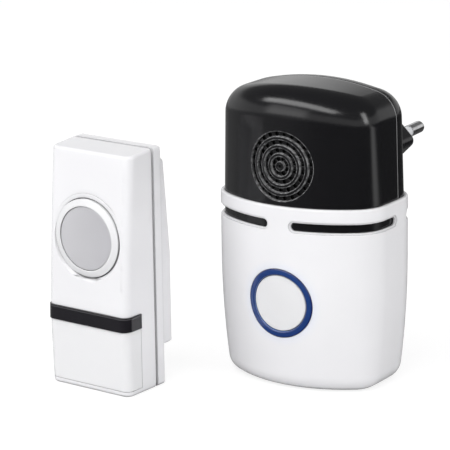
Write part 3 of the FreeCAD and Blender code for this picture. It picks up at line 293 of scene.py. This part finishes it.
def groove_edge_highlight(tree, where):
    """A painted highlight on the edges of the front shell's grille grooves, as a line that comes and goes.
    """
    first_radius, pitch, half_groove, grooves = 0.00235, 0.00262, 0.000825, 4
    highlight_core, highlight_reach = 0.00004, 0.0002
    face_depth, depth_end = 0.0022, 0.003
    low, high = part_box("speaker_magnet")
    away = distance_in_face(tree, where, tuple((low + high) / 2))
    turns = maths(tree, "DIVIDE", maths(tree, "SUBTRACT", away, first_radius), pitch)
    aside = product(tree, gap_to(tree, turns, maths(tree, "ROUND", turns)), pitch)
    painted_highlight = fade_out(tree, gap_to(tree, aside, half_groove), highlight_core, highlight_reach)
    outermost = first_radius + pitch * (grooves - 1) + half_groove + highlight_reach
    painted_highlight = product(tree, painted_highlight, fade_out(tree, away, outermost, outermost + 0.0001, smooth=False))
    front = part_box("receiver_front_shell")[0].y
    depth = along(tree, where, "Y")
    near = fade_out(tree, depth, front + face_depth, front + depth_end, smooth=False)
    patchy = spread(tree, speckle(tree, where, 900.0, 1.0), 0.42, 0.58, to_low=0.35, smooth=True)
    return product(tree, product(tree, painted_highlight, near), patchy)


def shell_black():
    """Gloss black, with painted highlights on the edges of the grille's grooves and along the seam."""
    tree, shader, given = plastic(
        "shell black", tone=(0.0060, 0.0060, 0.0070), deep=(0.0052, 0.0052, 0.0062), gloss=0.18,
        drift=0.02, grain=2600.0, depth=0.0000015, wave=0.000004, Specular_IOR_Level=0.44
    )
    tongue_reach, seam_middle = 0.0016, 0.00045
    highlight_core, highlight_reach = 0.00008, 0.0003
    where = place(tree)
    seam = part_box("receiver_rear_shell")[0].y + tongue_reach - seam_middle
    aside = gap_to(tree, along(tree, where, "Y"), seam)
    seam_highlight = fade_out(tree, aside, highlight_core, highlight_reach, strength=0.8)
    painted_highlight = maths(tree, "MAXIMUM", groove_edge_highlight(tree, where), seam_highlight)
    # Painted highlight: a pale grey laid over the black on the groove edges and along the seam.
    join_up(tree, shader, given, blend_colours(tree, painted_highlight, given["Color"], colour(0.26, 0.26, 0.265)))


def ring_blue():
    """A tinted light guide: painted shade darkens both rims and leaves the middle clearer, and a painted
    highlight runs as a pale line round the inner edge.
    """
    tree, shader, given = plastic(
        "ring blue", tone=(0.010, 0.040, 0.17), deep=(0.008, 0.032, 0.145), gloss=0.14, drift=0.03,
        grain=2600.0, depth=0.000001, Coat_Weight=0.4, Coat_Roughness=0.06
    )
    rim_shade_start, rim_shade_end, highlight_width = 0.0005, 0.00095, 0.00022
    inner = ring_radius - ring_width
    away = distance_in_face(tree, place(tree), ring_centre)
    from_middle = gap_to(tree, away, (inner + ring_radius) / 2)
    # Painted shade: darker towards both rims of the ring.
    rim_shade = spread(tree, from_middle, rim_shade_start, rim_shade_end, smooth=True)
    tone = blend_colours(tree, rim_shade, given["Color"], colour(0.004, 0.010, 0.085))
    # Painted highlight: a pale blue line along the inner edge.
    painted_highlight = fade_out(tree, away, inner, inner + highlight_width, strength=0.55)
    join_up(tree, shader, given, blend_colours(tree, painted_highlight, tone, colour(0.22, 0.36, 0.75)))


def disc_silver():
    """Satin silver paint: tiny flakes over an even tone, with painted shade that darkens it towards the
    right.
    """
    tree, shader, given = plastic(
        "disc silver", tone=(0.69, 0.685, 0.71), deep=(0.66, 0.655, 0.68), gloss=0.36, drift=0.05,
        grain=5200.0, depth=0.000002, metallic=0.35
    )
    where = place(tree)
    flakes = put(tree, "TexVoronoi", {"Vector": where, "Scale": 7000.0}).outputs["Color"]
    bright = put(tree, "SeparateColor", {0: flakes}).outputs[0]
    glint = spread(tree, bright, 0.8, 1.0, to_high=0.22)
    tone = blend_colours(tree, glint, given["Color"], colour(0.75, 0.75, 0.78))
    low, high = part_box("button_disc")
    # Painted shade: the disc grows darker from left to right.
    right_side_shade = spread(tree, along(tree, where, "X"), low.x, high.x, to_high=0.5, smooth=True)
    join_up(tree, shader, given, blend_colours(tree, right_side_shade, tone, colour(0.50, 0.495, 0.53)))


def band_black():
    """Gloss black, with a fine painted highlight under the band's top edge."""
    tree, shader, given = plastic(
        "band black", tone=(0.010, 0.009, 0.012), deep=(0.008, 0.007, 0.010), gloss=0.13, drift=0.03,
        grain=2600.0, depth=0.000001, Coat_Weight=0.3, Coat_Roughness=0.05
    )
    highlight_drop, highlight_core, highlight_reach = 0.00045, 0.00004, 0.00016
    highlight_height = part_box("trim_band")[1].z - highlight_drop
    aside = gap_to(tree, along(tree, place(tree), "Z"), highlight_height)
    # Painted highlight: a paler grey line just under the top edge.
    painted_highlight = fade_out(tree, aside, highlight_core, highlight_reach, strength=0.5)
    join_up(tree, shader, given, blend_colours(tree, painted_highlight, given["Color"], colour(0.13, 0.13, 0.135)))


def window_clear():
    """Clear polycarbonate over the card."""
    plastic(
        "window clear", tone=(0.93, 0.93, 0.945), deep=(0.915, 0.915, 0.93), gloss=0.08, drift=0.02,
        grain=2600.0, depth=0.0000006, Transmission_Weight=0.22, IOR=1.49
    )


def paper_card():
    """Plain card stock with short fibres."""
    tree, shader = new_finish("blank card", roughness=0.75)
    where = scaled(tree, place(tree), (1.0, 1.0, 3.5))
    fibres = speckle(tree, where, scale=1500.0, detail=6.0, roughness=0.7)
    share = spread(tree, fibres, 0.3, 0.7)
    tone = blend_colours(tree, share, colour(0.86, 0.86, 0.85), colour(0.80, 0.80, 0.79))
    textured(tree, shader, tone, product(tree, fibres, 0.00001))


def woven_cloth():
    """Black dust cloth with crossing threads."""
    tree, shader = new_finish("dust cloth", roughness=0.85)
    where = place(tree)
    threads = {"Vector": where, "Scale": 900.0}
    one, two = (put(tree, "TexWave", threads, bands_direction=way).outputs["Fac"] for way in "XZ")
    weave = product(tree, one, two)
    tone = blend_colours(tree, weave, colour(0.006, 0.006, 0.007), colour(0.03, 0.03, 0.032))
    textured(tree, shader, tone, product(tree, weave, 0.00008))


def board_green():
    """Solder mask over copper tracks, with small tinned pads."""
    tree, shader = new_finish("board green", roughness=0.32)
    where = place(tree)
    face = {0: along(tree, where, "X"), 1: along(tree, where, "Z"), 2: 0.0}
    flat = put(tree, "CombineXYZ", face).outputs[0]
    rows = {"Vector": flat, "Scale": 260.0, "Mortar Size": 0.03, "Mortar Smooth": 0.2, "Row Height": 0.42}
    tracks = put(tree, "TexBrick", rows).outputs["Fac"]
    dots = put(tree, "TexVoronoi", {"Vector": flat, "Scale": 330.0}, feature="F1").outputs["Distance"]
    pads = fade_out(tree, dots, 0.10, 0.14, smooth=False)
    cloudy = spread(tree, speckle(tree, where, scale=220.0, detail=3.0), 0.3, 0.7)
    mask = blend_colours(tree, cloudy, colour(0.010, 0.085, 0.030), colour(0.014, 0.11, 0.042))
    tone = blend_colours(tree, tracks, mask, colour(0.03, 0.20, 0.075))
    tone = blend_colours(tree, pads, tone, colour(0.66, 0.62, 0.50))
    tree.links.new(pads, shader.inputs["Metallic"])
    textured(tree, shader, tone, product(tree, maths(tree, "MAXIMUM", tracks, pads), 0.00003))


def gasket_foam():
    """Closed-cell foam."""
    tree, shader = new_finish("gasket foam", roughness=0.95)
    cells = put(tree, "TexVoronoi", {"Vector": place(tree), "Scale": 2600.0}).outputs["Distance"]
    tone = blend_colours(tree, cells, colour(0.05, 0.05, 0.052), colour(0.012, 0.012, 0.013))
    textured(tree, shader, tone, product(tree, cells, 0.00012))


def cone_paper():
    """Pressed paper pulp, dark and fibrous."""
    tree, shader = new_finish("cone paper", roughness=0.9)
    fibres = speckle(tree, place(tree), scale=1800.0, detail=6.0, roughness=0.72)
    share = spread(tree, fibres, 0.3, 0.7)
    tone = blend_colours(tree, share, colour(0.02, 0.02, 0.021), colour(0.055, 0.054, 0.052))
    textured(tree, shader, tone, product(tree, fibres, 0.00006))


def battery_wrap():
    """A plain printed film round the can, with a brass-coloured collar and bare steel at both ends."""
    tree, shader, given = plastic(
        "battery wrap", tone=(0.10, 0.12, 0.15), deep=(0.085, 0.10, 0.13), gloss=0.21, drift=0.05,
        depth=0.000002, Coat_Weight=0.3
    )
    bare_top, bare_foot = 0.0016, 0.0007
    collar_low, collar_high = 0.0088, 0.0086
    low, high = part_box("battery")
    height = along(tree, place(tree), "Z")
    top = maths(tree, "GREATER_THAN", height, high.z - bare_top)
    foot = maths(tree, "LESS_THAN", height, low.z + bare_foot)
    bare = maths(tree, "MAXIMUM", top, foot)
    collar = spread(tree, height, high.z - collar_low, high.z - collar_high)
    tone = blend_colours(tree, collar, given["Color"], colour(0.55, 0.34, 0.10))
    join_up(tree, shader, given, blend_colours(tree, bare, tone, colour(0.62, 0.62, 0.63)))
    tree.links.new(bare, shader.inputs["Metallic"])


def plain_plastics():
    """The plastics that need nothing besides the moulded skin."""
    soft, grainy = 0.000006, 0.00001
    plastic("shell white", **gloss_white)
    plastic(
        "button white", (0.71, 0.71, 0.722), (0.69, 0.69, 0.702), gloss=0.22, grain=3400.0, depth=0.000002
    )
    plastic("pin sleeve grey", (0.62, 0.63, 0.65), (0.58, 0.59, 0.61), gloss=0.45)
    plastic("insert black", (0.02, 0.02, 0.02), (0.015, 0.015, 0.015), gloss=0.6, depth=0.000008)
    plastic("switch black", (0.022, 0.022, 0.022), (0.016, 0.016, 0.016), gloss=0.5, depth=soft)
    plastic("plunger white", (0.70, 0.70, 0.67), (0.66, 0.66, 0.63), gloss=0.4)
    plastic("light chip", (0.80, 0.80, 0.62), (0.74, 0.73, 0.50), gloss=0.33)
    plastic("lead sheath", (0.018, 0.018, 0.02), (0.013, 0.013, 0.015), gloss=0.5, depth=soft)
    plastic("lead red", (0.42, 0.020, 0.018), (0.36, 0.016, 0.015), gloss=0.45, depth=soft)
    plastic("capacitor yellow", (0.62, 0.36, 0.03), (0.56, 0.32, 0.025), gloss=0.33)
    plastic("can sleeve", (0.012, 0.018, 0.05), (0.010, 0.015, 0.04), gloss=0.22, Coat_Weight=0.3)
    plastic("chip black", (0.018, 0.018, 0.019), (0.014, 0.014, 0.015), gloss=0.62, depth=grainy)
    plastic(
        "ferrite", (0.035, 0.035, 0.038), (0.022, 0.022, 0.025), gloss=0.7, grain=1400.0, depth=2 * grainy
    )


def plain_metals():
    """The metals: turned ones have rings round the Y axis, and wires have no lines."""
    fine_rings, rings, even = (1.0, 9.0, 1.0), (1.0, 8.0, 1.0), (1.0, 1.0, 1.0)
    metal("pin nickel", (0.70, 0.70, 0.71), (0.55, 0.55, 0.56), gloss=0.17, way=fine_rings, depth=0.000002)
    metal("basket steel", (0.50, 0.50, 0.51), (0.40, 0.40, 0.41), gloss=0.38)
    metal("screw steel", (0.56, 0.56, 0.57), (0.44, 0.44, 0.46), gloss=0.37, way=rings)
    metal("can metal", (0.62, 0.62, 0.63), (0.55, 0.55, 0.56), gloss=0.37)
    metal("copper wire", (0.72, 0.33, 0.14), (0.60, 0.26, 0.10), gloss=0.37, way=even)
    metal("spring nickel", (0.62, 0.61, 0.58), (0.52, 0.51, 0.48), gloss=0.18, way=even)


for make in (
    plain_plastics, plain_metals, cup_white, shell_black, ring_blue, disc_silver, band_black, window_clear,
    paper_card, woven_cloth, board_green, gasket_foam, cone_paper, battery_wrap,
):
    make()

finish_of_slot = {
    "white_gloss": "shell white", "black_gloss": "shell black", "ring_blue": "ring blue",
    "button_white": "button white", "disc_silver": "disc silver", "band_black": "band black",
    "window_clear": "window clear", "card_white": "blank card", "pin_metal": "pin nickel",
    "sleeve_grey": "pin sleeve grey", "carrier_black": "insert black", "switch_black": "switch black",
    "plunger_white": "plunger white", "board_green": "board green", "led_white": "light chip",
    "cloth_black": "dust cloth", "gasket_foam": "gasket foam", "basket_steel": "basket steel",
    "cone_paper": "cone paper", "magnet_ferrite": "ferrite", "screw_steel": "screw steel",
    "lead_black": "lead sheath", "film_yellow": "capacitor yellow", "can_sleeve": "can sleeve",
    "chip_black": "chip black", "resonator_metal": "can metal", "antenna_copper": "copper wire",
    "battery_metal": "battery wrap", "spring_steel": "spring nickel", "connector_black": "switch black",
    "lead_red": "lead red",
}
finish_of_node = {"receiver_cup": "cup white", "button_cap": "button white"}

for part in frame["record"]["subparts"]:
    node = part["node"]
    finish = finishes[finish_of_node.get(node, finish_of_slot[part["material_slot"]])]
    for slot in solids[node].material_slots:
        slot.material = finish


# Floor, lamps and background


def plain_light(tree, strength):
    return put(tree, "Emission", {"Color": grey(1.0), "Strength": strength}).outputs[0]


def floor_glow_in_reflections(tree):
    """A painted glow that the glossy pieces mirror in place of the floor: brighter on the left, with a
    bright strip far out on the right.
    """
    where = place(tree)
    across = along(tree, where, "X")
    strip_middle, strip_core, strip_reach = 0.10, 0.02, 0.09
    sheen = spread(tree, across, -0.30, 0.15, to_low=0.30, to_high=0.05, smooth=True)
    glow_strip = fade_out(tree, gap_to(tree, along(tree, where, "Y"), strip_middle), strip_core, strip_reach)
    # Painted light: a glowing strip on the floor, seen only in reflections.
    glow_strip = product(tree, glow_strip, spread(tree, across, 0.16, 0.34, to_high=1.6, smooth=True))
    return plain_light(tree, maths(tree, "ADD", sheen, glow_strip))


def pale_floor():
    """A wide pale floor that the camera sees as white and that keeps the object's shadow."""
    half = 3.0
    mesh = bpy.data.meshes.new("floor")
    corners = [(-half, -half, 0), (half, -half, 0), (half, half, 0), (-half, half, 0)]
    mesh.from_pydata(corners, [], [(0, 1, 2, 3)])
    floor = bpy.data.objects.new("floor", mesh)
    bpy.context.scene.collection.objects.link(floor)
    material = bpy.data.materials.new("pale floor")
    material.use_nodes = True
    tree = material.node_tree
    tree.nodes.clear()
    ray = put(tree, "LightPath").outputs
    matt = put(tree, "BsdfDiffuse", {"Color": grey(0.82)}).outputs[0]
    faint = put(tree, "BsdfDiffuse", {"Color": grey(0.26)}).outputs[0]
    seen = put(tree, "AddShader", {0: faint, 1: plain_light(tree, 0.80)}).outputs[0]
    first = put(tree, "MixShader", {0: ray["Is Glossy Ray"], 1: matt, 2: floor_glow_in_reflections(tree)}).outputs[0]
    second = put(tree, "MixShader", {0: ray["Is Transmission Ray"], 1: first, 2: seen}).outputs[0]
    last = put(tree, "MixShader", {0: ray["Is Camera Ray"], 1: second, 2: seen}).outputs[0]
    put(tree, "OutputMaterial", {0: last})
    mesh.materials.append(material)


def studio_world():
    """White where the camera looks, and a soft grey room with a brighter horizon for everything else."""
    world = bpy.data.worlds.new("studio")
    world.use_nodes = True
    tree = world.node_tree
    tree.nodes.clear()
    ray = put(tree, "LightPath").outputs
    rise = along(tree, put(tree, "TexCoord").outputs["Generated"], "Z")
    horizon = spread(tree, rise, 0.30, 0.42, to_low=0.75, to_high=0.16, smooth=True)
    room, soft, plain = (
        put(tree, "Background", {"Color": grey(1.0), "Strength": strength}).outputs[0]
        for strength in (horizon, 0.57, 1.0)
    )
    first = put(tree, "MixShader", {0: ray["Is Glossy Ray"], 1: soft, 2: room}).outputs[0]
    second = put(tree, "MixShader", {0: ray["Is Transmission Ray"], 1: first, 2: plain}).outputs[0]
    last = put(tree, "MixShader", {0: ray["Is Camera Ray"], 1: second, 2: plain}).outputs[0]
    put(tree, "OutputWorld", {0: last})
    bpy.context.scene.world = world


def soft_lamp(name, position, width, height, power):
    """A rectangular softbox that faces the middle of the set."""
    middle = Vector((0.0, -0.02, 0.05))
    lamp = bpy.data.lights.new(name, "AREA")
    lamp.shape = "RECTANGLE"
    lamp.size = width
    lamp.size_y = height
    lamp.energy = power
    holder = bpy.data.objects.new(name, lamp)
    holder.location = position
    aim = middle - Vector(position)
    holder.rotation_euler = aim.to_track_quat("-Z", "Y").to_euler()
    bpy.context.scene.collection.objects.link(holder)


def photo_camera():
    """The camera of the photograph: turned to the right of the fronts and looking down a little."""
    position = (0.398573, -0.666537, 0.25537)
    turn, down, roll = math.radians(31.7736), math.radians(15.0864), math.radians(-0.8458)
    ahead = Vector((-math.sin(turn) * math.cos(down), math.cos(turn) * math.cos(down), -math.sin(down)))
    level = Vector((math.cos(turn), math.sin(turn), 0.0))
    over = level.cross(ahead)
    right = level * math.cos(roll) + over * math.sin(roll)
    up = right.cross(ahead)
    lens = bpy.data.cameras.new("photo camera")
    lens.sensor_width = 36.0
    lens.lens = 200.0
    lens.clip_start = 0.01
    lens.clip_end = 20.0
    camera = bpy.data.objects.new("photo camera", lens)
    turned = Matrix((right, up, -ahead)).transposed().to_4x4()
    camera.matrix_world = Matrix.Translation(position) @ turned
    bpy.context.scene.collection.objects.link(camera)
    bpy.context.scene.camera = camera


pale_floor()
studio_world()
soft_lamp("front lamp", (-0.50, -1.15, 0.50), width=1.0, height=0.7, power=3.2)
soft_lamp("overhead lamp", (-0.18, -0.56, 0.79), width=1.35, height=0.26, power=6.2)
soft_lamp("right lamp", (0.95, -0.15, 0.5), width=0.25, height=0.7, power=3.2)
photo_camera()
bpy.context.scene.view_settings.view_transform = "Standard"
